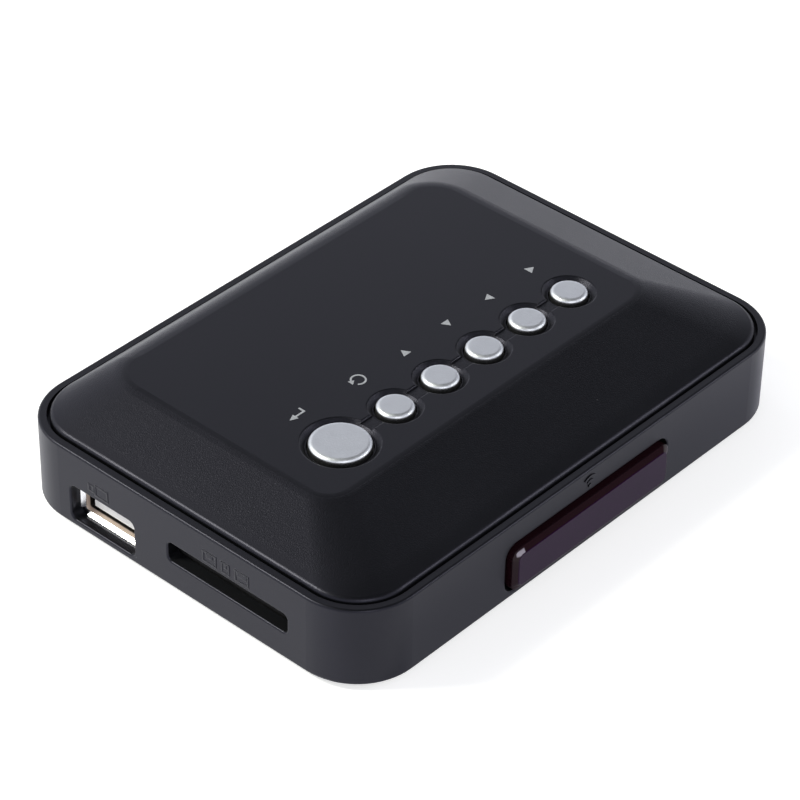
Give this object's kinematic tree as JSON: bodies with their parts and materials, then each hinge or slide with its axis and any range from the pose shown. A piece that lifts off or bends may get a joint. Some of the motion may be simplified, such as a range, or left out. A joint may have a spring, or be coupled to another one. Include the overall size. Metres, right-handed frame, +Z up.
{
  "type": "media player",
  "caption": "Low black media player box with a sloped cover, a row of silver push buttons, a proud red remote window, a drive port and a card slot.",
  "frame": {"origin": "under the middle of the case, on the plane that the rubber feet stand on", "axes": "+Z up, front with the remote window to -Y, drive port and card slot to -X, rear sockets to +Y"},
  "size_m": [0.104, 0.0769, 0.0205],
  "materials": {
    "case_black": "satin",
    "cover_black": "fine matte texture",
    "window_red": "polished, lets infrared through",
    "button_silver": "satin silver paint",
    "foot_rubber": "matte",
    "screw_steel": "zinc plated",
    "board_green": "solder mask",
    "socket_steel": "nickel plated",
    "tongue_white": "moulded",
    "moulding_black": "moulded",
    "contact_gold": "plated",
    "chip_black": "moulded",
    "lead_tin": "tinned",
    "capacitor_aluminium": "drawn can",
    "ferrite_grey": "sintered",
    "receiver_dark": "moulded lens",
    "light_lens": "diffused",
    "plunger_black": "moulded"
  },
  "bodies": {
    "case": {"av_jack_body": "moulding_black", "av_jack_bush": "socket_steel", "board_screws": "screw_steel", "card_socket_base": "moulding_black", "card_socket_contacts": "contact_gold", "card_socket_cover": "socket_steel", "case_screws": "screw_steel", "crystal_can": "lead_tin", "drive_socket_contacts": "contact_gold", "drive_socket_shell": "socket_steel", "drive_socket_tongue": "tongue_white", "filter_capacitors": "capacitor_aluminium", "flash_chip": "chip_black", "flash_chip_leads": "lead_tin", "key_board": "board_green", "key_board_screws": "screw_steel", "key_header": "moulding_black", "key_header_pins": "contact_gold", "key_socket": "moulding_black", "key_switches": "moulding_black", "lower_case": "case_black", "main_board": "board_green", "main_chip": "chip_black", "main_chip_leads": "lead_tin", "memory_chip": "chip_black", "memory_chip_leads": "lead_tin", "power_inductor": "ferrite_grey", "power_jack_body": "moulding_black", "power_jack_pin": "contact_gold", "receiver_leads": "lead_tin", "remote_receiver": "receiver_dark", "rubber_feet": "foot_rubber", "status_light": "light_lens", "status_light_leads": "lead_tin", "switch_frames": "socket_steel", "top_cover": "cover_black", "video_socket_contacts": "contact_gold", "video_socket_shell": "socket_steel", "video_socket_tongue": "moulding_black", "window_pane": "window_red"},
    "enter_key": {"enter_button": "button_silver", "enter_plunger": "plunger_black"},
    "back_key": {"back_button": "button_silver", "back_plunger": "plunger_black"},
    "up_key": {"up_button": "button_silver", "up_plunger": "plunger_black"},
    "down_key": {"down_button": "button_silver", "down_plunger": "plunger_black"},
    "left_key": {"left_button": "button_silver", "left_plunger": "plunger_black"},
    "right_key": {"right_button": "button_silver", "right_plunger": "plunger_black"}
  },
  "joints": [
    {"name": "enter_press", "type": "slide", "parent": "case", "child": "enter_key", "axis": [0, 0, -1], "range_m": [0, 0.00035], "stiffness_N_per_m": 60, "springref_m": -0.005},
    {"name": "back_press", "type": "slide", "parent": "case", "child": "back_key", "axis": [0, 0, -1], "range_m": [0, 0.00035], "stiffness_N_per_m": 60, "springref_m": -0.005},
    {"name": "up_press", "type": "slide", "parent": "case", "child": "up_key", "axis": [0, 0, -1], "range_m": [0, 0.00035], "stiffness_N_per_m": 60, "springref_m": -0.005},
    {"name": "down_press", "type": "slide", "parent": "case", "child": "down_key", "axis": [0, 0, -1], "range_m": [0, 0.00035], "stiffness_N_per_m": 60, "springref_m": -0.005},
    {"name": "left_press", "type": "slide", "parent": "case", "child": "left_key", "axis": [0, 0, -1], "range_m": [0, 0.00035], "stiffness_N_per_m": 60, "springref_m": -0.005},
    {"name": "right_press", "type": "slide", "parent": "case", "child": "right_key", "axis": [0, 0, -1], "range_m": [0, 0.00035], "stiffness_N_per_m": 60, "springref_m": -0.005}
  ]
}
